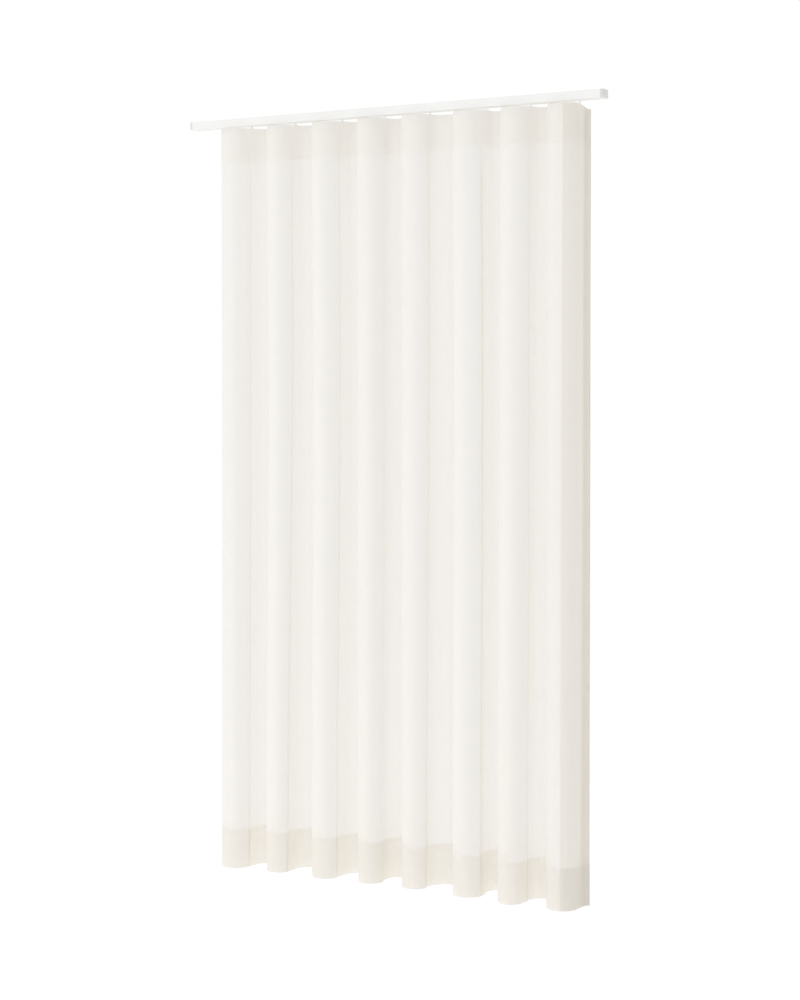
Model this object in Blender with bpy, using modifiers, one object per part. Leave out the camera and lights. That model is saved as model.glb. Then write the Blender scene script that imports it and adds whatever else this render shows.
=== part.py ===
# Sheer wave-fold curtain with its ceiling rail.
# Metres. +X runs along the rail, the room is on the -Y side, +Z is up.
# The origin is the middle of the rail's top face, where it meets the ceiling.
import bmesh
import bpy
from collections import namedtuple
from math import acos, atan2, cos, hypot, pi, radians, sin
from mathutils import Matrix

mm = 0.001

# Rail
rail_length = 1.440
rail_depth = 0.040
rail_height = 0.025
rail_edge = 0.0008  # rounding of the rail's long outer edges
channel_width = 0.0090
channel_height = 0.0050
slot_width = 0.0036
slot_lip = 0.0025  # thickness of the two lips that carry the gliders
cap_length = 0.010
cap_corner = 0.006  # rounding of a cap's outer corners, seen from above and from the front
cap_tongue = 0.012  # how far a cap's tongue reaches into the channel

# Cloth
cloth_thickness = 0.0010
hem_thickness = 0.0020
hem_height = 0.122
hem_step = 0.002  # height over which the hem's extra thickness starts
side_hem_columns = 3
heading_height = 0.106
tape_thickness = 0.0010
tape_below_top = 0.003
cloth_drop = 2.316  # from the rail's underside to the level hem
top_drop = 0.0077  # the cloth's top edge below the rail, on the rail's centre line
top_tilt = 0.088  # rise of the top edge from the front loops to the back ones
edge_sag = 0.009  # droop of the free right edge behind its last glider
first_front_x = -0.543
heading_fullness = 0.006  # front loops are this much rounder at the heading than at the hem
least_radius = 0.008
arc_steps = 5  # faces on a quarter turn of a loop
mid_height = 0.35  # share of the drop where the folds stand as mid_shift says
row_shares = (0.18, mid_height, 0.60, 0.80)  # heights of the plain rows between heading and hem

# Gliders
head_radius = 0.0041
head_height = 0.0032
neck_radius = 0.0015
foot_width = 0.0080
foot_thickness = 0.0016
foot_top = 0.0015  # below the rail's underside
foot_reach = 0.013  # below the tape's top edge

# Clearances between pieces
part_gap = 0.0003
tape_gap = 0.0004
foot_gap = 0.0006

# One row for each fold, left to right, in millimetres.
# front_x, back_x: the loop's foremost and rearmost lines at the hem, from the first fold's front line
# front_depth, back_depth: how far those lines stand in front of and behind the rail's centre line
# front_radius, back_radius: how round the two loops are
# hem_rise: the hem's height there above its mean level
# top_shift, mid_shift: how far the fold stands to the right at the heading and at mid height
Fold = namedtuple(
    "Fold",
    "front_x front_depth front_radius back_x back_depth back_radius hem_rise top_shift mid_shift",
)
folds = (
    Fold(0, 60, 44, 87, 58, 38, -6, 0, 1),
    Fold(168, 64, 38, 248, 58, 43, 0, 4, 10),
    Fold(335, 63, 41, 417, 64, 38, 0, 2, 7),
    Fold(498, 63, 38, 569, 66, 42, 4, 0, 2),
    Fold(648, 58, 39, 737, 54, 52, 4, 2, 4),
    Fold(825, 60, 48, 896, 78, 35, 1, 4, 6),
    Fold(972, 64, 37, 1049, 60, 39, -2, 13, 8),
    Fold(1129, 55, 45, 1188, 49, 11, -3, 5, 3),
)
# The cloth begins on a back loop, left of the first fold, with the first fold's depth and shifts.
left_edge_x = -80

# A turning point of the wave. side is -1 on a front loop and +1 on a back one.
Tip = namedtuple("Tip", "x y radius side rise")
# A column of the cloth. back is a unit vector (x, y) towards the cloth's back face.
# sag is the share of edge_sag that the column takes.
Column = namedtuple("Column", "x y back rise sag")

rail_underside = -rail_height
hem_level = rail_underside - cloth_drop


def clear_scene():
    for thing in list(bpy.data.objects):
        bpy.data.objects.remove(thing, do_unlink=True)


def new_collection(name):
    collection = bpy.data.collections.new(name)
    bpy.context.scene.collection.children.link(collection)
    return collection


def plain_material(name, color, roughness, metallic=0.0):
    material = bpy.data.materials.new(name)
    material.use_nodes = True
    shader = material.node_tree.nodes["Principled BSDF"]
    shader.inputs["Base Color"].default_value = (*color, 1.0)
    shader.inputs["Roughness"].default_value = roughness
    shader.inputs["Metallic"].default_value = metallic
    material.diffuse_color = (*color, 1.0)
    return material


def add_object(name, data, collection, material):
    thing = bpy.data.objects.new(name, data)
    collection.objects.link(thing)
    if not data.materials:
        data.materials.append(material)
    return thing


def shade(mesh, angle=30):
    mesh.shade_smooth()
    mesh.set_sharp_from_angle(angle=radians(angle))


def box_mesh(name, size, centre):
    shape = bmesh.new()
    bmesh.ops.create_cube(shape, size=1.0)
    bmesh.ops.scale(shape, vec=size, verts=shape.verts)
    bmesh.ops.translate(shape, vec=centre, verts=shape.verts)
    mesh = bpy.data.meshes.new(name)
    shape.to_mesh(mesh)
    shape.free()
    return mesh


def rod_mesh(name, radius, low, high, sides):
    shape = bmesh.new()
    bmesh.ops.create_cone(
        shape, cap_ends=True, segments=sides, radius1=radius, radius2=radius, depth=high - low
    )
    bmesh.ops.translate(shape, vec=(0, 0, (low + high) / 2), verts=shape.verts)
    mesh = bpy.data.meshes.new(name)
    shape.to_mesh(mesh)
    shape.free()
    return mesh


def add_helper(name, mesh, cutters):
    helper = bpy.data.objects.new(name, mesh)
    cutters.objects.link(helper)
    helper.hide_render = True
    helper.display_type = "WIRE"
    return helper


def unite(thing, helper):
    union = thing.modifiers.new("join " + helper.name, "BOOLEAN")
    union.operation = "UNION"
    union.solver = "EXACT"
    union.object = helper


# Rail


def corner(x, y, radius, start, steps=2):
    """Points of a quarter circle inside the corner (x, y), from the start angle in degrees."""
    centre_x = x - radius * (1 if cos(radians(start + 45)) > 0 else -1)
    centre_y = y - radius * (1 if sin(radians(start + 45)) > 0 else -1)
    turns = [radians(start + 90 * step / steps) for step in range(steps + 1)]
    return [(centre_x + radius * cos(turn), centre_y + radius * sin(turn)) for turn in turns]


def rail_outline():
    """The rail's section, counter-clockwise: rounded outside, a T-shaped channel open below."""
    half = rail_depth / 2
    low = rail_underside
    lip_top = low + slot_lip
    roof = lip_top + channel_height
    channel = channel_width / 2
    slot = slot_width / 2
    outline = [(slot, low)]
    outline += corner(half, low, rail_edge, -90)
    outline += corner(half, 0, rail_edge, 0)
    outline += corner(-half, 0, rail_edge, 90)
    outline += corner(-half, low, rail_edge, 180)
    outline += [(-slot, low), (-slot, lip_top), (-channel, lip_top), (-channel, roof)]
    outline += [(channel, roof), (channel, lip_top), (slot, lip_top)]
    return outline


def make_rail(collection, material):
    length = rail_length - 2 * cap_length
    curve = bpy.data.curves.new("rail", "CURVE")
    curve.dimensions = "2D"
    curve.fill_mode = "BOTH"
    curve.extrude = length / 2
    spline = curve.splines.new("POLY")
    outline = rail_outline()
    spline.points.add(len(outline) - 1)
    for point, (across, up) in zip(spline.points, outline):
        point.co = (across, up, 0, 1)
    spline.use_cyclic_u = True
    rail = add_object("rail", curve, collection, material)
    rail.rotation_euler = (pi / 2, 0, pi / 2)


def make_end_cap(name, end, collection, cutters, material):
    """end is -1 for the left cap and +1 for the right one."""
    outer = end * rail_length / 2
    inner = outer - end * (cap_length - part_gap)
    size = (abs(outer - inner), rail_depth, rail_height)
    mesh = box_mesh(name, size, ((outer + inner) / 2, 0, rail_underside / 2))
    cap = add_object(name, mesh, collection, material)
    weights = mesh.attributes.new("bevel_weight_edge", "FLOAT", "EDGE")
    for edge in mesh.edges:
        a, b = (mesh.vertices[index].co for index in edge.vertices)
        on_outer_end = abs(a.x - outer) < mm and abs(b.x - outer) < mm
        on_top = a.z > -mm and b.z > -mm
        weights.data[edge.index].value = 1.0 if on_outer_end and not on_top else 0.0
    rounding = cap.modifiers.new("outer corners", "BEVEL")
    rounding.limit_method = "WEIGHT"
    rounding.width = cap_corner
    rounding.segments = 4
    easing = cap.modifiers.new("edges", "BEVEL")
    easing.limit_method = "ANGLE"
    easing.angle_limit = radians(60)
    easing.width = rail_edge
    easing.segments = 2
    tongue_size = (
        cap_tongue + cap_length / 2,
        channel_width - 2 * part_gap,
        channel_height - 2 * part_gap,
    )
    tongue_x = inner - end * (cap_tongue - cap_length / 2) / 2
    tongue_z = rail_underside + slot_lip + channel_height / 2
    tongue = box_mesh(name + " tongue", tongue_size, (tongue_x, 0, tongue_z))
    unite(cap, add_helper(name + " tongue", tongue, cutters))
    shade(mesh)


# Cloth


def shift_at(fold, share):
    """How far right a fold stands at a share of the drop: 0 is the top, 1 the hem. Metres."""
    if share < mid_height:
        near, far, way = fold.top_shift, fold.mid_shift, share / mid_height
    else:
        near, far, way = fold.mid_shift, 0, (share - mid_height) / (1 - mid_height)
    ease = (1 - cos(pi * way)) / 2
    return mm * (near + (far - near) * ease)


def wave_tips(share):
    """The turning points of the wave at a share of the drop, from the left edge to the right."""
    fuller = heading_fullness * (1 - share)
    first = folds[0]
    start = first_front_x + shift_at(first, share)
    tips = [
        Tip(
            start + mm * left_edge_x,
            mm * first.back_depth,
            mm * first.back_radius - fuller,
            1,
            mm * first.hem_rise,
        )
    ]
    for fold in folds:
        start = first_front_x + shift_at(fold, share)
        front = Tip(
            start + mm * fold.front_x,
            -mm * fold.front_depth,
            mm * fold.front_radius + fuller,
            -1,
            mm * fold.hem_rise,
        )
        back = Tip(
            start + mm * fold.back_x,
            mm * fold.back_depth,
            max(least_radius, mm * fold.back_radius - fuller),
            1,
            mm * fold.hem_rise,
        )
        tips += [front, back]
    return tips


def loop_centre(tip, radius):
    return tip.x, tip.y - tip.side * radius


def leg(first, second, last_leg):
    """Columns from one turning point to the next: an arc, a straight flank and a second arc."""
    radii = (first.radius, second.radius)
    for _ in range(2):
        x1, y1 = loop_centre(first, radii[0])
        x2, y2 = loop_centre(second, radii[1])
        apart = hypot(x2 - x1, y2 - y1)
        ease = min(1.0, 0.999 * apart / sum(radii))
        radii = (radii[0] * ease, radii[1] * ease)
    x1, y1 = loop_centre(first, radii[0])
    x2, y2 = loop_centre(second, radii[1])
    apart = hypot(x2 - x1, y2 - y1)
    lean = atan2(y2 - y1, x2 - x1) + first.side * acos(min(1.0, sum(radii) / apart))
    columns = []
    for centre_x, centre_y, radius, side, begin, end in (
        (x1, y1, radii[0], first.side, first.side * pi / 2, lean),
        (x2, y2, radii[1], second.side, lean + pi, pi + first.side * pi / 2),
    ):
        for step in range(arc_steps + 1):
            turn = begin + (end - begin) * step / arc_steps
            across, deep = cos(turn), sin(turn)
            x = centre_x + radius * across
            y = centre_y + radius * deep
            way = (y - first.y) / (second.y - first.y)
            rise = first.rise + (second.rise - first.rise) * way
            sag = max(0.0, y / second.y) if last_leg else 0.0
            columns.append(Column(x, y, (side * across, side * deep), rise, sag))
    return columns


def wave(share):
    """All columns of the cloth at a share of the drop."""
    tips = wave_tips(share)
    columns = []
    for number, (first, second) in enumerate(zip(tips, tips[1:])):
        found = leg(first, second, last_leg=number == len(tips) - 2)
        columns += found if number == 0 else found[1:]
    return columns


def top_of(column):
    """Height of the cloth's top edge."""
    return rail_underside - top_drop + top_tilt * column.y - edge_sag * column.sag


def sheet_mesh(name, rows, offset):
    """A loft through rows of (columns, heights). offset moves it towards the cloth's back."""
    mesh = bpy.data.meshes.new(name)
    shape = bmesh.new()
    grid = []
    for columns, heights in rows:
        line = []
        for column, height in zip(columns, heights):
            x = column.x + offset * column.back[0]
            y = column.y + offset * column.back[1]
            line.append(shape.verts.new((x, y, height)))
        grid.append(line)
    for upper, lower in zip(grid, grid[1:]):
        for index in range(len(upper) - 1):
            shape.faces.new((upper[index], lower[index], lower[index + 1], upper[index + 1]))
    shape.to_mesh(mesh)
    shape.free()
    return mesh


def thicken(thing, thickness):
    solid = thing.modifiers.new("thickness", "SOLIDIFY")
    solid.thickness = thickness
    solid.offset = 0
    solid.use_even_offset = True
    return solid


def panel_rows():
    """The panel's rows from top to hem, and the numbers of the rows that are hem."""
    full_drop = cloth_drop - top_drop
    rows = []
    top = wave(0)
    rows.append((top, [top_of(column) for column in top]))
    below_heading = wave(heading_height / full_drop)
    rows.append((below_heading, [top_of(column) - heading_height for column in top]))
    for share in row_shares:
        columns = wave(share)
        heights = []
        for column in columns:
            sag = edge_sag * column.sag * (1 - share)
            heights.append(rail_underside - top_drop - share * full_drop - sag)
        rows.append((columns, heights))
    for above_hem in (hem_height + hem_step, hem_height, 0.0):
        columns = wave(1 - above_hem / full_drop)
        rows.append((columns, [hem_level + above_hem + column.rise for column in columns]))
    return rows, (len(rows) - 2, len(rows) - 1)


def make_curtain_panel(collection, material):
    rows, hem_rows = panel_rows()
    mesh = sheet_mesh("curtain_panel", rows, 0.0)
    shade(mesh)
    panel = add_object("curtain_panel", mesh, collection, material)
    count = len(rows[0][0])
    hems = panel.vertex_groups.new(name="hems")
    for row in range(len(rows)):
        for index in range(count):
            beside_edge = min(index, count - 1 - index) < side_hem_columns
            if row in hem_rows or beside_edge:
                hems.add([row * count + index], 1.0, "REPLACE")
    solid = thicken(panel, hem_thickness)
    solid.vertex_group = "hems"
    solid.thickness_vertex_group = cloth_thickness / hem_thickness


def tape_offset():
    """The tape's middle surface behind the cloth's middle surface."""
    return cloth_thickness / 2 + tape_gap + tape_thickness / 2


def inside_side_hems(columns):
    return columns[side_hem_columns:-side_hem_columns]


def make_heading_tape(collection, material):
    full_drop = cloth_drop - top_drop
    upper = wave(0)
    lower = wave(heading_height / full_drop)
    edge = [top_of(column) for column in inside_side_hems(upper)]
    rows = (
        (inside_side_hems(upper), [height - tape_below_top for height in edge]),
        (inside_side_hems(lower), [height - heading_height for height in edge]),
    )
    mesh = sheet_mesh("heading_tape", rows, tape_offset())
    shade(mesh)
    tape = add_object("heading_tape", mesh, collection, material)
    thicken(tape, tape_thickness)


# Gliders


def glider_places():
    """Where the line behind the tape crosses the rail's centre line: (x, turn) for each crossing."""
    offset = tape_offset() + tape_thickness / 2 + foot_gap + foot_thickness / 2
    line = [
        (column.x + offset * column.back[0], column.y + offset * column.back[1]) for column in wave(0)
    ]
    places = []
    for (x1, y1), (x2, y2) in zip(line, line[1:]):
        if y1 * y2 < 0:
            x = x1 - y1 * (x2 - x1) / (y2 - y1)
            places.append((x, atan2(y2 - y1, x2 - x1)))
    return places


def make_gliders(collection, cutters, material):
    head_bottom = rail_underside + slot_lip + part_gap
    head_top = head_bottom + head_height
    foot_high = rail_underside - foot_top
    foot_low = rail_underside - top_drop - tape_below_top - foot_reach
    head = rod_mesh("glider", head_radius, head_bottom, head_top, 12)
    neck = rod_mesh("glider neck", neck_radius, foot_high - foot_thickness, head_top - mm, 8)
    foot_size = (foot_width, foot_thickness, foot_high - foot_low)
    foot = box_mesh("glider foot", foot_size, (0, 0, (foot_high + foot_low) / 2))
    pattern = add_helper("glider pattern", head, cutters)
    unite(pattern, add_helper("glider neck", neck, cutters))
    unite(pattern, add_helper("glider foot", foot, cutters))
    depsgraph = bpy.context.evaluated_depsgraph_get()
    mesh = bpy.data.meshes.new_from_object(pattern.evaluated_get(depsgraph))
    mesh.name = "glider"
    shade(mesh)
    for number, (x, turn) in enumerate(glider_places(), start=1):
        glider = add_object(f"glider_{number:02d}", mesh, collection, material)
        glider.matrix_world = Matrix.Translation((x, 0, 0)) @ Matrix.Rotation(turn, 4, "Z")


def main():
    clear_scene()
    parts = new_collection("sheer curtain on rail")
    cutters = new_collection("helpers")
    voile = plain_material("warm white voile", (0.89, 0.86, 0.80), 0.85)
    tape = plain_material("warm white heading tape", (0.85, 0.81, 0.74), 0.80)
    enamel = plain_material("white powder coat", (0.88, 0.87, 0.86), 0.45)
    plastic = plain_material("white moulded plastic", (0.86, 0.85, 0.83), 0.40)
    make_rail(parts, enamel)
    make_end_cap("rail_end_cap_left", -1, parts, cutters, plastic)
    make_end_cap("rail_end_cap_right", 1, parts, cutters, plastic)
    make_curtain_panel(parts, voile)
    make_heading_tape(parts, tape)
    make_gliders(parts, cutters, plastic)


main()
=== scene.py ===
# Sheer wave curtain under a slim ceiling rail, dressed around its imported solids.
# Metres. +X runs along the rail, the room is on the -Y side, +Z is up, the origin is on the rail's top.
from bisect import bisect_left
from collections import namedtuple
from itertools import takewhile
from math import acos, atan2, cos, exp, hypot, pi, radians, sin

import bmesh
import bpy
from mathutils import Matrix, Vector


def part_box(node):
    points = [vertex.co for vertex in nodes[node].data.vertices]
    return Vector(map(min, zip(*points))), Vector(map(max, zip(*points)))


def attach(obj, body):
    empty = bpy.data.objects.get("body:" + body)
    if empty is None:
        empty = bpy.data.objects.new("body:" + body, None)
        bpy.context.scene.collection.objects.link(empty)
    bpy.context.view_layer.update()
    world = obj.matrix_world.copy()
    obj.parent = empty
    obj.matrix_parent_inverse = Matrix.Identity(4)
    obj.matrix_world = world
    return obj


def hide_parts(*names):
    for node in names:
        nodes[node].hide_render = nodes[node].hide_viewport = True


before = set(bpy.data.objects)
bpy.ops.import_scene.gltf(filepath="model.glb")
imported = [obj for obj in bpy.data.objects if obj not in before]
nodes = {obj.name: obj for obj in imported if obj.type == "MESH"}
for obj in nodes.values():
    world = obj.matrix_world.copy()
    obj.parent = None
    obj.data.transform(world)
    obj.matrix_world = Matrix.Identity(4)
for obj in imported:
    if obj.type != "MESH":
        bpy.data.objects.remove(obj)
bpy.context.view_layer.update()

mm = 0.001
print("frame loaded, nodes:", len(nodes))


def toLinear(hexColor):  # sRGB hex to linear RGBA
    channels = [int(hexColor[start:start + 2], 16) / 255 for start in (1, 3, 5)]
    linear = [c / 12.92 if c <= 0.04045 else ((c + 0.055) / 1.055) ** 2.4 for c in channels]
    return (*linear, 1.0)


def addNode(tree, kind, settings=None, values=None, links=None):
    node = tree.nodes.new(kind)
    for name, value in (settings or {}).items():
        setattr(node, name, value)
    for name, value in (values or {}).items():
        node.inputs[name].default_value = value
    for name, (source, output) in (links or {}).items():
        tree.links.new(source.outputs[output], node.inputs[name])
    return node


def newMaterial(name):
    material = bpy.data.materials.new(name)
    material.use_nodes = True
    material.node_tree.nodes.clear()
    return material, material.node_tree


def addMesh(name, shape, material):
    mesh = bpy.data.meshes.new(name)
    shape.to_mesh(mesh)
    shape.free()
    mesh.materials.append(material)
    mesh.shade_smooth()
    piece = bpy.data.objects.new(name, mesh)
    bpy.context.scene.collection.objects.link(piece)
    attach(piece, "root")
    return piece


# Camera: level, turned 30 degrees, with the vertical shift that the frame needs
camera = {
    "place": (3.151, -5.384, -0.887),
    "turn": 30.0,  # degrees
    "lens": 74.36,  # mm
    "sensorWidth": 36.0,
    "shiftUp": -0.0991,
    "farthest": 200.0,
}


def makeCamera():
    data = bpy.data.cameras.new("camera")
    data.lens = camera["lens"]
    data.sensor_width = camera["sensorWidth"]
    data.shift_y = camera["shiftUp"]
    data.clip_end = camera["farthest"]
    thing = bpy.data.objects.new("camera", data)
    thing.location = camera["place"]
    thing.rotation_euler = (pi / 2, 0, radians(camera["turn"]))
    bpy.context.scene.collection.objects.link(thing)
    bpy.context.scene.camera = thing


makeCamera()
print("camera set")


# Cloth: the wave that the solids hang in, drawn finer
cloth = {
    "drop": 2.316,  # rail underside to level hem
    "topDrop": 0.0070,  # rail underside to the top edge below the rail's middle
    "topTilt": 0.077,  # how much the top edge rises on its way back
    "edgeSag": 0.017,  # how far the top edge sinks at its right end
    "sagFrom": 0.035,  # how far behind the last front the sag starts
    "firstFrontX": -0.543,
    "leftEdgeX": -80,  # mm from the first front
    "headingFullness": 0.006,  # how much rounder the front loops are at the top
    "leastRadius": 0.008,
    "midHeight": 0.35,  # share of the drop where the folds take their middle shift
    "arcSteps": 10,
    "flankSteps": 16,
    "plainRows": 40,
    "headingHeight": 0.106,
    "hemHeight": 0.122,
    "leftSideHem": 0.036,
    # the right side hem is drawn wide, so that its double layer lays shade on the last fold's right part
    "rightSideHem": 0.120,
    "turnedInShadeStrip": 0.036,  # the right hem's raw edge, folded in once more at the cloth's edge: an extra layer laid there as shade on the outer strip
    "sideGap": 0.0008,  # between a side hem's layers
    "hemGap": 0.0016,  # between the bottom hem's two layers
    "foldClear": 0.002,  # no point of a turned layer lies nearer to a fold than this
    "foldInset": 0.001,  # where a turned layer starts next to its fold
    "seamTuck": 0.0008,  # length in which a hem's inner edge comes down to the front layer
    "tucked": 0.4,  # share of the gap that is left at that edge
}

# Painted shade, 0 to 1, where the cloth is double and in its creases; the same share also closes the gaps
# between the yarns
shadeAndCrowding = {
    "hem": 0.15,
    "rightHem": 0.22,
    "tape": 0.065,
    "creaseDepth": 3.0,  # mm; a crease this deep takes the full painted shade
    "creaseInHem": 0.6,  # share of a crease's painted shade that is left in the hem
}

# Folds left to right, in millimetres, as the solids have them
Fold = namedtuple(
    "Fold",
    "frontX frontDepth frontRadius backX backDepth backRadius hemRise topShift midShift",
)
folds = (
    Fold(0, 60, 44, 87, 58, 38, -6, 0, 1),
    Fold(168, 64, 38, 248, 58, 43, 0, 4, 10),
    Fold(335, 63, 41, 417, 64, 38, 0, 2, 7),
    Fold(498, 63, 38, 569, 66, 42, 4, 0, 2),
    Fold(648, 58, 39, 737, 54, 52, 4, 2, 4),
    Fold(825, 60, 48, 896, 78, 35, 1, 4, 6),
    Fold(972, 64, 37, 1049, 60, 39, -2, 13, 8),
    Fold(1129, 55, 45, 1188, 49, 11, -3, 5, 3),
)
# A turning point of the wave (side -1 in front, 1 behind) and a column of the cloth with its way back
Tip = namedtuple("Tip", "x y radius side rise")
Column = namedtuple("Column", "x y backX backY rise sag")

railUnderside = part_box("rail")[0].z
hemLevel = railUnderside - cloth["drop"]
fullDrop = cloth["drop"] - cloth["topDrop"]


def shiftAt(fold, share):  # how far right a fold stands; share 0 is the top, 1 the hem
    mid = cloth["midHeight"]
    if share < mid:
        near, far, way = fold.topShift, fold.midShift, share / mid
    else:
        near, far, way = fold.midShift, 0, (share - mid) / (1 - mid)
    ease = (1 - cos(pi * way)) / 2
    return mm * (near + (far - near) * ease)


def waveTips(share):
    fuller = cloth["headingFullness"] * (1 - share)
    first = folds[0]
    start = cloth["firstFrontX"] + shiftAt(first, share)
    edgeRadius = mm * first.backRadius - fuller
    edgeX = start + mm * cloth["leftEdgeX"]
    tips = [Tip(edgeX, mm * first.backDepth, edgeRadius, 1, mm * first.hemRise)]
    for fold in folds:
        start = cloth["firstFrontX"] + shiftAt(fold, share)
        rise = mm * fold.hemRise
        frontRadius = mm * fold.frontRadius + fuller
        backRadius = max(cloth["leastRadius"], mm * fold.backRadius - fuller)
        tips.append(Tip(start + mm * fold.frontX, -mm * fold.frontDepth, frontRadius, -1, rise))
        tips.append(Tip(start + mm * fold.backX, mm * fold.backDepth, backRadius, 1, rise))
    return tips


def arc(centre, radius, side, begin, end):
    steps = cloth["arcSteps"]
    for step in range(steps + 1):
        turn = begin + (end - begin) * step / steps
        across, deep = cos(turn), sin(turn)
        yield centre[0] + radius * across, centre[1] + radius * deep, side * across, side * deep


def leg(first, second, lastLeg):  # an arc, a straight flank, a second arc
    radii = (first.radius, second.radius)
    for _ in range(3):  # loops that would meet get smaller
        centres = [(tip.x, tip.y - tip.side * radius) for tip, radius in zip((first, second), radii)]
        (x1, y1), (x2, y2) = centres
        apart = hypot(x2 - x1, y2 - y1)
        ease = min(1.0, 0.999 * apart / sum(radii))
        radii = (radii[0] * ease, radii[1] * ease)
    lean = atan2(y2 - y1, x2 - x1) + first.side * acos(min(1.0, sum(radii) / apart))
    opening = list(arc(centres[0], radii[0], first.side, first.side * pi / 2, lean))
    closing = list(arc(centres[1], radii[1], second.side, lean + pi, pi + first.side * pi / 2))
    flank = []
    for step in range(1, cloth["flankSteps"]):
        way = step / cloth["flankSteps"]
        flank.append([a + (b - a) * way for a, b in zip(opening[-1], closing[0])])
    sagStart = first.y + cloth["sagFrom"]
    columns = []
    for x, y, backX, backY in opening + flank + closing:
        way = (y - first.y) / (second.y - first.y)
        rise = first.rise + (second.rise - first.rise) * way
        sag = max(0.0, (y - sagStart) / (second.y - sagStart)) if lastLeg else 0.0
        columns.append(Column(x, y, backX, backY, rise, sag))
    return columns


def wave(share):
    tips = waveTips(share)
    columns = []
    for number, (first, second) in enumerate(zip(tips, tips[1:])):
        found = leg(first, second, number == len(tips) - 2)
        columns += found[1:] if columns else found
    return columns


def lengthsAlong(columns):
    lengths = [0.0]
    for a, b in zip(columns, columns[1:]):
        lengths.append(lengths[-1] + hypot(b.x - a.x, b.y - a.y))
    return lengths


def blendColumns(a, b, way):
    return Column(*[p + (q - p) * way for p, q in zip(a, b)])


def columnAt(columns, lengths, distance):
    index = min(max(bisect_left(lengths, distance), 1), len(columns) - 1)
    way = (distance - lengths[index - 1]) / (lengths[index] - lengths[index - 1])
    return blendColumns(columns[index - 1], columns[index], way)


threadLengths = lengthsAlong(wave(0.5))
clothWidth = threadLengths[-1]


def topOf(column):
    level = railUnderside - cloth["topDrop"]
    return level + cloth["topTilt"] * column.y - cloth["edgeSag"] * column.sag


# Creases down the flanks, one below a glider each: the cloth swells before it and sinks after it, and
# shade is painted into it, darker the deeper it is. Distance along the cloth from its left edge at the top,
# drift by the hem, depth and half width are in millimetres, and metres tell how far below the top the crease
# starts.
creaseFade = 0.12
creaseReach = 4  # half widths
Crease = namedtuple("Crease", "distance drift depth halfWidth starts")
creases = (
    Crease(240, 6, 2.0, 7.0, 0.06),
    Crease(556, -5, 1.8, 7.0, 0.08),
    Crease(898, 4, 1.9, 6.0, 0.06),
    Crease(1251, 0, 2.7, 7.5, 0.09),
    Crease(1586, 0, 1.8, 8.5, 0.07),
    Crease(1908, 14, 2.7, 7.5, 0.08),
    Crease(2290, 29, 2.6, 7.0, 0.06),
)


def creasesAt(distance, dropped):  # how far the creases push the cloth back, and how much shade is painted into them
    shift = shadeAndCrowd = 0.0
    for crease in creases:
        middle = crease.distance + crease.drift * dropped / fullDrop
        away = (distance / mm - middle) / crease.halfWidth
        if abs(away) < creaseReach:
            fade = min(1.0, max(0.0, (dropped - crease.starts) / creaseFade))
            shift += mm * crease.depth * away * exp(0.5 - away * away / 2) * fade
            shadeAndCrowd += crease.depth / shadeAndCrowding["creaseDepth"] * exp(-away * away) * fade
    return shift, min(1.0, shadeAndCrowd)


# The places across the cloth where it has points: the wave's own, and finer ones at creases and side hems
creaseDistances = [
    mm * (crease.distance + crease.halfWidth * step / 2)
    for crease in creases for step in (-4, -3, -2, -1.4, -0.8, -0.3, 0.3, 0.8, 1.4, 2, 3, 4)
]
hemDistances = [
    hem + side * mm
    for hem in (cloth["leftSideHem"], clothWidth - cloth["rightSideHem"]) for side in (-0.3, 0.3)
]
acrossCloth = sorted(threadLengths + creaseDistances + hemDistances)


# A line across the cloth: its share of the drop, one of three rules for its height, how far behind the
# front layer it is, and how far down the flat cloth
Line = namedtuple("Line", "share fromTop fromHem between behind dropped")


def heightOn(line, column):
    headingFoot = topOf(column) - cloth["headingHeight"]
    hemTop = hemLevel + column.rise + cloth["hemHeight"]
    if line.fromTop is not None:
        return topOf(column) - line.fromTop
    if line.fromHem is not None:
        return hemLevel + column.rise + line.fromHem
    return headingFoot + (hemTop - headingFoot) * line.between


def panelLines():  # down the front, round the hem's fold and up behind it
    lines = []
    for down in (0, 3, 20, 45, 75, 106, 106.6):  # mm; the last two stand at the heading's foot
        lines.append(Line(mm * down / fullDrop, mm * down, None, None, 0.0, mm * down))
    bare = fullDrop - cloth["headingHeight"] - cloth["hemHeight"]
    for step in range(1, cloth["plainRows"]):
        way = step / cloth["plainRows"]
        down = cloth["headingHeight"] + bare * way
        lines.append(Line(down / fullDrop, None, None, way, 0.0, down))
    for up in (122.6, 122, 90, 60, 30, 10, 1):  # mm; the first two stand at the hem's top
        lines.append(Line(1 - mm * up / fullDrop, None, mm * up, None, 0.0, fullDrop - mm * up))
    radius = cloth["hemGap"] / 2
    for turn in (45, 90, 135):
        up = mm - radius * sin(radians(turn))
        behind = radius * (1 - cos(radians(turn)))
        lines.append(Line(1.0, None, up, None, behind, fullDrop + behind))
    for up in (1, 10, 30, 60, 90, 116, 122):
        behind = cloth["hemGap"] if up < 122 else cloth["tucked"] * cloth["hemGap"]
        lines.append(Line(1 - mm * up / fullDrop, None, mm * up, None, behind, fullDrop + mm * up))
    return lines


# A place across the cloth: its distance from the left edge, how far behind the front layer and past the
# edge it is, and how far across the flat cloth
Place = namedtuple("Place", "distance behind past across")


def turnedDistances(hem, fromEdge):  # points of a turned side hem from its fold to its inner edge
    inner = [d for d in fromEdge if cloth["foldClear"] < d < hem - cloth["foldClear"]]
    return [cloth["foldInset"], *inner, hem - cloth["seamTuck"], hem]


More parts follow.
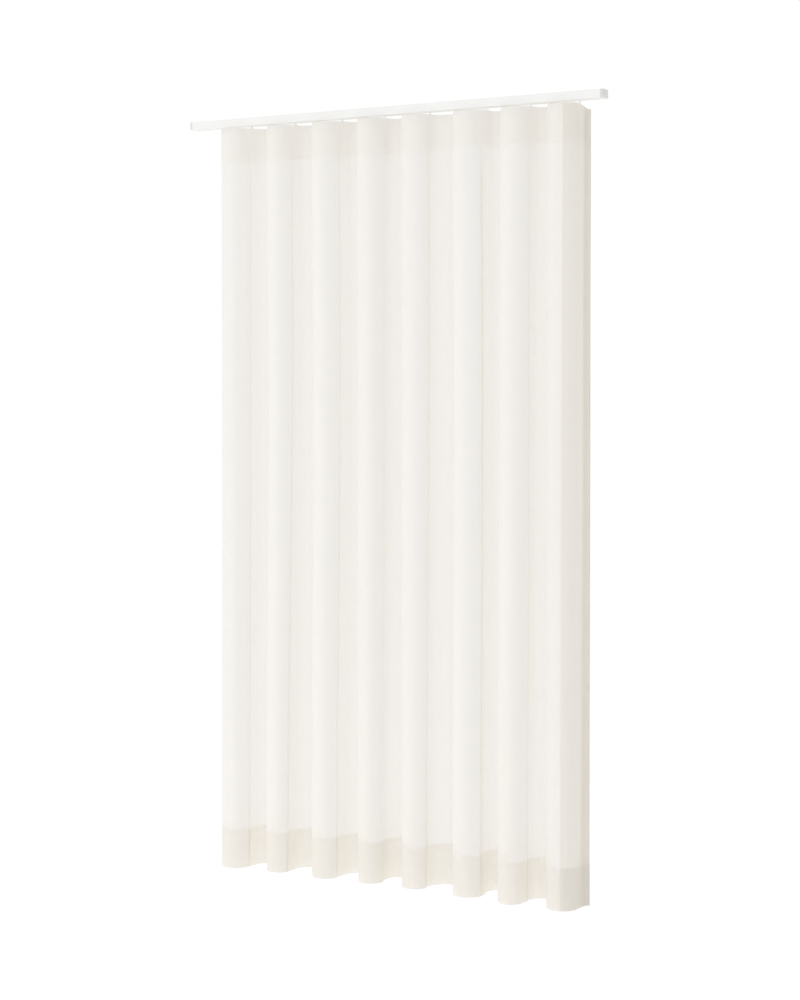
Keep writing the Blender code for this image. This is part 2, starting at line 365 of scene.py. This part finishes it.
def panelPlaces():  # the left side hem from behind, the front, and the right side hem behind it
    gap = cloth["sideGap"]
    leftHem, rightHem = cloth["leftSideHem"], cloth["rightSideHem"]
    bends = [radians(turn) for turn in (45, 90, 135)]
    places = []
    for distance in reversed(turnedDistances(leftHem, acrossCloth)):
        behind = gap if distance < leftHem else cloth["tucked"] * gap
        places.append(Place(distance, behind, 0.0, -distance))
    for bend in bends:
        places.append(Place(0.0, gap / 2 * (1 + cos(bend)), -gap / 2 * sin(bend), 0.0))
    for distance in acrossCloth:
        places.append(Place(distance, 0.0, 0.0, distance))
    for bend in reversed(bends):
        places.append(Place(clothWidth, gap / 2 * (1 + cos(bend)), gap / 2 * sin(bend), clothWidth))
    fromRight = [clothWidth - d for d in reversed(acrossCloth)]
    for distance in turnedDistances(rightHem, fromRight):
        behind = gap if distance < rightHem else cloth["tucked"] * gap
        places.append(Place(clothWidth - distance, behind, 0.0, clothWidth + distance))
    return places


def turnedInShadePlaces():  # the raw edge inside the right hem, folded over twice along the cloth's edge, an extra layer laid there as shade on the outer strip
    gap = cloth["sideGap"] / 3
    start, end = clothWidth - cloth["turnedInShadeStrip"], clothWidth - cloth["foldInset"]
    inner = [d for d in acrossCloth if start + cloth["foldClear"] < d < end - cloth["foldClear"]]
    out = [Place(d, gap, 0.0, clothWidth + d) for d in (start, *inner, end)]
    back = [place._replace(behind=2 * gap, across=2 * clothWidth - place.across) for place in reversed(out)]
    return out + back


def shadeAndCrowdingAt(line, place):  # painted shade: most in a crease, a little where the cloth is double
    inHem = line.fromHem is not None and line.fromHem <= cloth["hemHeight"]
    inHeading = line.fromTop is not None and line.fromTop <= cloth["headingHeight"]
    inLeft = place.distance < cloth["leftSideHem"]
    inRight = clothWidth - place.distance < cloth["rightSideHem"]
    double = shadeAndCrowding["hem"] if inHem or inLeft else shadeAndCrowding["rightHem"] * inRight
    double += shadeAndCrowding["tape"] * inHeading
    creaseShade = creasesAt(place.distance, min(line.dropped, fullDrop))[1]
    return min(1.0, double + creaseShade * (shadeAndCrowding["creaseInHem"] if inHem else 1.0))


def clothPoint(columns, line, place):
    column = columnAt(columns, threadLengths, place.distance)
    shift, _ = creasesAt(place.distance, min(line.dropped, fullDrop))
    behind = line.behind + place.behind + shift
    x = column.x + behind * column.backX + place.past * column.backY
    y = column.y + behind * column.backY - place.past * column.backX
    return Vector((x, y, heightOn(line, column)))


def loft(lines, places):
    shape = bmesh.new()
    uv = shape.loops.layers.uv.new("threads")  # metres across and down the cloth
    shade_and_crowding = shape.verts.layers.float.new("shade_and_crowding")
    grid = []
    spots = {}
    for line in lines:
        columns = wave(line.share)
        row = []
        for place in places:
            vertex = shape.verts.new(clothPoint(columns, line, place))
            vertex[shade_and_crowding] = shadeAndCrowdingAt(line, place)
            spots[vertex] = (place.across, -line.dropped)
            row.append(vertex)
        grid.append(row)
    for upper, lower in zip(grid, grid[1:]):
        for left in range(len(places) - 1):
            face = shape.faces.new((upper[left], lower[left], lower[left + 1], upper[left + 1]))
            for loop in face.loops:
                loop[uv].uv = spots[loop.vert]
    return shape


# A wave texture repeats its bands every 2 pi / 20 at scale 1
def bandScale(pitch):  # pitch in millimetres
    return 2 * pi / 20 / (pitch * mm)


# Voile: polyester yarn in an open plain weave, warm white. Light goes through it softly, some passes
# straight between the threads, shade is painted into the creases and where the cloth is double, where the
# yarns also close the gaps, and uneven yarns make faint streaks.
voile = {
    "color": "#FBF9F8",
    "throughColor": "#FBF9F4",
    "through": 0.46,  # share of the light that the yarns let through
    "open": 0.22,  # share of the cloth that is gap
    "openMost": 1.9,  # the gap's own strength in the middle of a mesh
    "openLeast": 0.55,  # and over a yarn
    "paintedShadeColor": "#F4F3EE",  # the painted shade where the cloth is double or creased
    "threadPitch": 1.2,  # mm; real yarns stand 0.4 mm apart, drawn three times as coarse to show
    "threadWander": {"Distortion": 0.6, "Detail": 1.0, "Detail Scale": 0.4},
    "streakWidth": 9.0,  # mm
    "streakLength": 250.0,  # mm
    "streakTone": 0.991,  # the darkest streak
}


def makeVoile():
    material, tree = newMaterial("woven polyester voile")
    uv = addNode(tree, "ShaderNodeUVMap", {"uv_map": "threads"})
    threads = {"Scale": bandScale(voile["threadPitch"]), **voile["threadWander"]}
    warp, weft = (
        addNode(tree, "ShaderNodeTexWave", {"bands_direction": way}, threads, {"Vector": (uv, "UV")})
        for way in ("X", "Y")
    )
    weave = addNode(
        tree, "ShaderNodeMath", {"operation": "MAXIMUM"}, None, {0: (warp, "Fac"), 1: (weft, "Fac")}
    )
    stretch = addNode(
        tree, "ShaderNodeMapping", None,
        {"Scale": (1000 / voile["streakWidth"], 1000 / voile["streakLength"], 1.0)}, {"Vector": (uv, "UV")},
    )
    streak = addNode(
        tree, "ShaderNodeTexNoise", None, {"Scale": 1.0, "Detail": 3.0}, {"Vector": (stretch, "Vector")}
    )
    tint = addNode(
        tree, "ShaderNodeMapRange", None,
        {"From Min": 0.3, "From Max": 0.7, "To Min": voile["streakTone"], "To Max": 1.0},
        {"Value": (streak, "Fac")},
    )
    # painted shade where the cloth is double or creased; the same attribute closes the gaps below
    shadeAndCrowd = addNode(tree, "ShaderNodeAttribute", {"attribute_name": "shade_and_crowding"})
    crease = addNode(
        tree, "ShaderNodeMix", {"data_type": "RGBA"},
        {6: (1, 1, 1, 1), 7: toLinear(voile["paintedShadeColor"])}, {"Factor": (shadeAndCrowd, "Fac")},
    )
    tone = addNode(
        tree, "ShaderNodeMix", {"data_type": "RGBA", "blend_type": "MULTIPLY"},
        {"Factor": 1.0}, {6: (crease, 2), 7: (tint, "Result")},
    )
    colors = []
    for name in ("color", "throughColor"):
        colors.append(addNode(
            tree, "ShaderNodeMix", {"data_type": "RGBA", "blend_type": "MULTIPLY"},
            {"Factor": 1.0, 6: toLinear(voile[name])}, {7: (tone, 2)},
        ))
    bump = addNode(
        tree, "ShaderNodeBump", None, {"Strength": 0.25, "Distance": 0.0002}, {"Height": (weave, "Value")}
    )
    face = addNode(
        tree, "ShaderNodeBsdfPrincipled", None,
        {"Roughness": 0.85, "Sheen Weight": 0.1, "Sheen Roughness": 0.5, "Specular IOR Level": 0.2},
        {"Base Color": (colors[0], 2), "Normal": (bump, "Normal")},
    )
    through = addNode(tree, "ShaderNodeBsdfTranslucent", None, None, {"Color": (colors[1], 2)})
    body = addNode(
        tree, "ShaderNodeMixShader", None, {"Fac": voile["through"]},
        {1: (face, "BSDF"), 2: (through, "BSDF")},
    )
    gaps = addNode(
        tree, "ShaderNodeMapRange", None,
        {"To Min": voile["openMost"] * voile["open"], "To Max": voile["openLeast"] * voile["open"]},
        {"Value": (weave, "Value")},
    )
    loose = addNode(
        tree, "ShaderNodeMapRange", None, {"To Min": 1.0, "To Max": 0.0}, {"Value": (shadeAndCrowd, "Fac")}
    )
    openShare = addNode(
        tree, "ShaderNodeMath", {"operation": "MULTIPLY"}, None, {0: (gaps, "Result"), 1: (loose, "Result")}
    )
    clear = addNode(tree, "ShaderNodeBsdfTransparent")
    mix = addNode(
        tree, "ShaderNodeMixShader", None, None,
        {"Fac": (openShare, "Value"), 1: (body, "Shader"), 2: (clear, "BSDF")},
    )
    addNode(tree, "ShaderNodeOutputMaterial", None, None, {"Surface": (mix, "Shader")})
    return material


def makePanel():
    lines = panelLines()
    shape = loft(lines, panelPlaces())
    frontLines = list(takewhile(lambda line: not line.behind, lines))
    strip = loft(frontLines, turnedInShadePlaces())
    stripMesh = bpy.data.meshes.new("turned-in shade strip")
    strip.to_mesh(stripMesh)
    strip.free()
    shape.from_mesh(stripMesh)
    bpy.data.meshes.remove(stripMesh)
    panel = addMesh("voile_panel", shape, makeVoile())
    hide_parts("curtain_panel")
    return panel


panel = makePanel()
print("voile panel made, faces:", len(panel.data.polygons), "width:", round(clothWidth, 3))


# Heading tape: a clear woven nylon band sewn behind the top, so sheer that the voile only dulls a little
tape = {
    "color": "#FBFAF8",
    "throughColor": "#FBF9F5",
    "through": 0.5,
    "open": 0.46,
    "openMost": 1.4,
    "openLeast": 0.6,
    "behind": 0.0014,  # the voile's front layer
    "below": 0.003,  # the voile's top edge
    "rows": 8,
    "leftInset": 0.037,
    "rightInset": 0.010,
    "ribPitch": 2.4,  # mm between the ribs across the band
}


def makeTapeMaterial():
    material, tree = newMaterial("woven nylon tape")
    uv = addNode(tree, "ShaderNodeUVMap", {"uv_map": "threads"})
    ribs = addNode(
        tree, "ShaderNodeTexWave", {"bands_direction": "X"},
        {"Scale": bandScale(tape["ribPitch"])}, {"Vector": (uv, "UV")},
    )
    bump = addNode(
        tree, "ShaderNodeBump", None, {"Strength": 0.5, "Distance": 0.0004}, {"Height": (ribs, "Fac")}
    )
    face = addNode(
        tree, "ShaderNodeBsdfPrincipled", None,
        {"Base Color": toLinear(tape["color"]), "Roughness": 0.8, "Specular IOR Level": 0.2},
        {"Normal": (bump, "Normal")},
    )
    through = addNode(
        tree, "ShaderNodeBsdfTranslucent", None, {"Color": toLinear(tape["throughColor"])}
    )
    body = addNode(
        tree, "ShaderNodeMixShader", None, {"Fac": tape["through"]}, {1: (face, "BSDF"), 2: (through, "BSDF")}
    )
    gaps = addNode(
        tree, "ShaderNodeMapRange", None,
        {"To Min": tape["openMost"] * tape["open"], "To Max": tape["openLeast"] * tape["open"]},
        {"Value": (ribs, "Fac")},
    )
    clear = addNode(tree, "ShaderNodeBsdfTransparent")
    mix = addNode(
        tree, "ShaderNodeMixShader", None, None,
        {"Fac": (gaps, "Result"), 1: (body, "Shader"), 2: (clear, "BSDF")},
    )
    addNode(tree, "ShaderNodeOutputMaterial", None, None, {"Surface": (mix, "Shader")})
    return material


def makeTape():
    top = tape["below"]
    foot = cloth["headingHeight"]
    lines = []
    for row in range(tape["rows"] + 1):
        down = top + (foot - top) * row / tape["rows"]
        lines.append(Line(down / fullDrop, down, None, None, 0.0, down))
    low, high = tape["leftInset"], clothWidth - tape["rightInset"]
    inner = [d for d in threadLengths if low + mm < d < high - mm]
    places = [Place(d, tape["behind"], 0.0, d) for d in [low, *inner, high]]
    band = addMesh("heading_band", loft(lines, places), makeTapeMaterial())
    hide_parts("heading_tape")
    return band


band = makeTape()
print("heading band made")

# Stitches: white polyester thread in lockstitch, which shows as a row of short raised dashes on both faces
stitch = {
    "length": 3.2,  # mm from one stitch to the next
    "shown": 0.8,  # share of that length that lies on the face
    "thread": 0.30,  # mm; real thread is 0.25 mm, drawn a little thicker to show
    "fromEdge": 3.0,  # mm between a seam and the edge that it holds
    "endInset": 2.0,  # mm between a seam's end and the cloth's edge
    "twistPitch": 0.6,  # mm
    "through": 0.5,
    "color": "#FEFDFA",
}


def makeThreadMaterial():
    material, tree = newMaterial("spun polyester thread")
    spot = addNode(tree, "ShaderNodeTexCoord")
    twist = addNode(
        tree, "ShaderNodeTexWave", {"bands_direction": "DIAGONAL"},
        {"Scale": bandScale(stitch["twistPitch"])}, {"Vector": (spot, "Object")},
    )
    bump = addNode(
        tree, "ShaderNodeBump", None, {"Strength": 0.4, "Distance": 0.0001}, {"Height": (twist, "Fac")}
    )
    face = addNode(
        tree, "ShaderNodeBsdfPrincipled", None,
        {"Base Color": toLinear(stitch["color"]), "Roughness": 0.6, "Sheen Weight": 0.2},
        {"Normal": (bump, "Normal")},
    )
    through = addNode(tree, "ShaderNodeBsdfTranslucent", None, {"Color": toLinear(stitch["color"])})
    body = addNode(
        tree, "ShaderNodeMixShader", None, {"Fac": stitch["through"]},
        {1: (face, "BSDF"), 2: (through, "BSDF")},
    )
    addNode(tree, "ShaderNodeOutputMaterial", None, None, {"Surface": (body, "Shader")})
    return material


def addStitch(shape, start, end, out):  # a three-sided dash, raised in the middle, sunk at its ends
    along = (end - start).normalized()
    side = along.cross(out)
    half = stitch["thread"] * mm / 2
    rings = []
    for way, lift in ((0.0, -0.6), (0.5, 0.7), (1.0, -0.6)):
        centre = start.lerp(end, way) + out * (half * lift)
        ring = []
        for turn in (90, 210, 330):
            arm = side * cos(radians(turn)) + out * sin(radians(turn))
            ring.append(shape.verts.new(centre + arm * half))
        rings.append(ring)
    for first, second in zip(rings, rings[1:]):
        for corner in range(3):
            after = (corner + 1) % 3
            shape.faces.new((first[corner], first[after], second[after], second[corner]))


def sewAcross(shape, line, begin, finish, behind, outward):
    columns = wave(line.share)
    step = stitch["length"] * mm
    for number in range(int((finish - begin) / step)):
        near = begin + number * step
        far = near + step * stitch["shown"]
        column = columnAt(columns, threadLengths, (near + far) / 2)
        out = Vector((column.backX, column.backY, 0)).normalized() * outward
        ends = [clothPoint(columns, line, Place(d, behind, 0.0, d)) for d in (near, far)]
        addStitch(shape, ends[0], ends[1], out)


def sewDown(shape, distance, begin, finish, behind, outward):
    step = stitch["length"] * mm
    for number in range(int((finish - begin) / step)):
        ends = []
        for down in (begin + number * step, begin + (number + stitch["shown"]) * step):
            columns = wave(down / fullDrop)
            line = Line(down / fullDrop, None, None, spanShare(down), 0.0, down)
            ends.append(clothPoint(columns, line, Place(distance, behind, 0.0, distance)))
        column = columnAt(columns, threadLengths, distance)
        out = Vector((column.backX, column.backY, 0)).normalized() * outward
        addStitch(shape, ends[0], ends[1], out)


def spanShare(down):  # how far a depth lies between the heading's foot and the hem's top
    return (down - cloth["headingHeight"]) / (fullDrop - cloth["headingHeight"] - cloth["hemHeight"])


def addStitches():
    thread = makeThreadMaterial()
    inset = stitch["fromEdge"] * mm
    edge = stitch["endInset"] * mm
    hemSeam = bmesh.new()
    up = cloth["hemHeight"] - inset
    line = Line(1 - up / fullDrop, None, up, None, 0.0, fullDrop - up)
    for behind, outward in ((0.0, -1), (cloth["hemGap"], 1)):
        sewAcross(hemSeam, line, edge, clothWidth - edge, behind, outward)
    sideSeams = bmesh.new()
    foot = fullDrop - cloth["hemHeight"]
    for distance in (cloth["leftSideHem"] - inset, clothWidth - cloth["rightSideHem"] + inset):
        for behind, outward in ((0.0, -1), (cloth["sideGap"], 1)):
            sewDown(sideSeams, distance, cloth["headingHeight"], foot, behind, outward)
    tapeSeams = bmesh.new()
    for down in (tape["below"] + inset, cloth["headingHeight"] - inset):
        line = Line(down / fullDrop, down, None, None, 0.0, down)
        low, high = tape["leftInset"] + edge, clothWidth - tape["rightInset"] - edge
        for behind, outward in ((0.0, -1), (tape["behind"], 1)):
            sewAcross(tapeSeams, line, low, high, behind, outward)
    for name, shape, slot in (
        ("hem_stitches", hemSeam, "voile"),
        ("side_hem_stitches", sideSeams, "voile"),
        ("tape_stitches", tapeSeams, "heading_tape"),
    ):
        piece = addMesh(name, shape, thread)
        print(name, "faces:", len(piece.data.polygons))


addStitches()


# Rail: aluminium profile, powder coated satin white with a faint orange peel. Caps: moulded ABS. Gliders:
# moulded acetal, which is milky, so that light from behind the curtain comes through them.
hardware = {
    "coat": "#F8F8F7",
    "plastic": "#FBFAF9",
    "capPlastic": "#E3E3E2",
    "milky": 0.7,  # share of light that goes through acetal
    "peelScale": 900.0,  # per metre, so the coat's orange peel is about 1.1 mm wide
    "grainScale": 1600.0,  # per metre, so the moulded grain is about 0.6 mm wide
}


def makePowderCoat():
    material, tree = newMaterial("powder coated aluminium")
    spot = addNode(tree, "ShaderNodeTexCoord")
    peel = addNode(
        tree, "ShaderNodeTexNoise", None,
        {"Scale": hardware["peelScale"], "Detail": 2.0}, {"Vector": (spot, "Object")},
    )
    bump = addNode(
        tree, "ShaderNodeBump", None, {"Strength": 0.08, "Distance": 0.0001}, {"Height": (peel, "Fac")}
    )
    face = addNode(
        tree, "ShaderNodeBsdfPrincipled", None,
        {"Base Color": toLinear(hardware["coat"]), "Roughness": 0.42, "IOR": 1.5},
        {"Normal": (bump, "Normal")},
    )
    addNode(tree, "ShaderNodeOutputMaterial", None, None, {"Surface": (face, "BSDF")})
    return material


def makeMouldedPlastic(name, color, milky=0.0):
    material, tree = newMaterial(name)
    spot = addNode(tree, "ShaderNodeTexCoord")
    grain = addNode(
        tree, "ShaderNodeTexNoise", None,
        {"Scale": hardware["grainScale"], "Detail": 1.0}, {"Vector": (spot, "Object")},
    )
    bump = addNode(
        tree, "ShaderNodeBump", None, {"Strength": 0.05, "Distance": 0.0001}, {"Height": (grain, "Fac")}
    )
    face = addNode(
        tree, "ShaderNodeBsdfPrincipled", None,
        {"Base Color": toLinear(color), "Roughness": 0.36, "IOR": 1.54},
        {"Normal": (bump, "Normal")},
    )
    if not milky:
        addNode(tree, "ShaderNodeOutputMaterial", None, None, {"Surface": (face, "BSDF")})
        return material
    through = addNode(tree, "ShaderNodeBsdfTranslucent", None, {"Color": toLinear(color)})
    body = addNode(
        tree, "ShaderNodeMixShader", None, {"Fac": milky}, {1: (face, "BSDF"), 2: (through, "BSDF")}
    )
    addNode(tree, "ShaderNodeOutputMaterial", None, None, {"Surface": (body, "Shader")})
    return material


def dressHardware():
    coat = makePowderCoat()
    gliderPlastic = makeMouldedPlastic("moulded acetal", hardware["plastic"], hardware["milky"])
    capPlastic = makeMouldedPlastic("moulded ABS", hardware["capPlastic"])
    for name, node in nodes.items():
        if name.startswith("rail_end"):
            finish = capPlastic
        elif name.startswith("glider"):
            finish = gliderPlastic
        elif name == "rail":
            finish = coat
        else:
            continue
        node.data.materials.clear()
        node.data.materials.append(finish)


dressHardware()
print("rail, caps and gliders dressed")


# Studio: a white sweep under a soft sky, with broad lamps from the room, from the left and from behind
studio = {
    "floorLevel": -2.360,
    "floorSize": 60.0,
    "floor": "#F4F4F2",
    "floorGlow": 0.29,  # the lit sweep also shines back up
    "sky": 0.658,
    "sweepWhite": 1.03,  # what the camera sees of the sweep past the curtain
    "sweepThrough": 0.788,  # and between the threads, where the sweep keeps its own softer tone
    "bounces": 16,
    "diffuseBounces": 8,  # light passes back and forth between the sheer folds
}
# Where the light comes from in degrees round the curtain (0 the room, 90 the right) and up, and its spread
Lamp = namedtuple("Lamp", "name around height strength spread")
lamps = (
    Lamp("room left", 311, 15, 0.53, 45),
    Lamp("room right", 20, 15, 0.20, 45),
    Lamp("behind left", 240, 15, 0.33, 30),
    Lamp("behind", 180, 15, 0.40, 30),
)


def addSweepStrength(tree, path):
    return addNode(
        tree, "ShaderNodeMapRange", None,
        {"To Min": studio["sweepWhite"], "To Max": studio["sweepThrough"]},
        {"Value": (path, "Transparent Depth")},
    )


def makeSweepMaterial():
    material, tree = newMaterial("painted studio floor")
    path = addNode(tree, "ShaderNodeLightPath")
    paint = addNode(
        tree, "ShaderNodeBsdfPrincipled", None,
        {
            "Base Color": toLinear(studio["floor"]), "Roughness": 0.9,
            "Emission Color": (1, 1, 1, 1), "Emission Strength": studio["floorGlow"],
        },
    )
    strength = addSweepStrength(tree, path)
    white = addNode(tree, "ShaderNodeEmission", None, None, {"Strength": (strength, "Result")})
    mix = addNode(
        tree, "ShaderNodeMixShader", None, None,
        {"Fac": (path, "Is Camera Ray"), 1: (paint, "BSDF"), 2: (white, "Emission")},
    )
    addNode(tree, "ShaderNodeOutputMaterial", None, None, {"Surface": (mix, "Shader")})
    return material


def makeSky():
    world = bpy.data.worlds.new("studio")
    world.use_nodes = True
    tree = world.node_tree
    tree.nodes.clear()
    path = addNode(tree, "ShaderNodeLightPath")
    sky = addNode(tree, "ShaderNodeBackground", None, {"Color": (1, 1, 1, 1), "Strength": studio["sky"]})
    strength = addSweepStrength(tree, path)
    white = addNode(
        tree, "ShaderNodeBackground", None, {"Color": (1, 1, 1, 1)}, {"Strength": (strength, "Result")}
    )
    mix = addNode(
        tree, "ShaderNodeMixShader", None, None,
        {"Fac": (path, "Is Camera Ray"), 1: (sky, "Background"), 2: (white, "Background")},
    )
    addNode(tree, "ShaderNodeOutputWorld", None, None, {"Surface": (mix, "Shader")})
    bpy.context.scene.world = world


def makeLamps():
    for lamp in lamps:
        data = bpy.data.lights.new(lamp.name, "SUN")
        data.energy = lamp.strength
        data.angle = radians(lamp.spread)
        thing = bpy.data.objects.new(lamp.name, data)
        around, height = radians(lamp.around), radians(lamp.height)
        toward = Vector((sin(around) * cos(height), -cos(around) * cos(height), sin(height)))
        thing.rotation_euler = toward.to_track_quat("Z", "Y").to_euler()
        bpy.context.scene.collection.objects.link(thing)


def makeStudio():
    shape = bmesh.new()
    half = studio["floorSize"] / 2
    bmesh.ops.create_grid(shape, x_segments=1, y_segments=1, size=half)
    bmesh.ops.translate(shape, vec=(0, 0, studio["floorLevel"]), verts=shape.verts)
    mesh = bpy.data.meshes.new("floor")
    shape.to_mesh(mesh)
    shape.free()
    mesh.materials.append(makeSweepMaterial())
    floor = bpy.data.objects.new("floor", mesh)
    bpy.context.scene.collection.objects.link(floor)
    makeSky()
    makeLamps()
    scene = bpy.context.scene
    scene.view_settings.view_transform = "Standard"
    scene.cycles.max_bounces = studio["bounces"]
    scene.cycles.diffuse_bounces = studio["diffuseBounces"]
    scene.cycles.transparent_max_bounces = studio["bounces"]


makeStudio()
print("studio set")
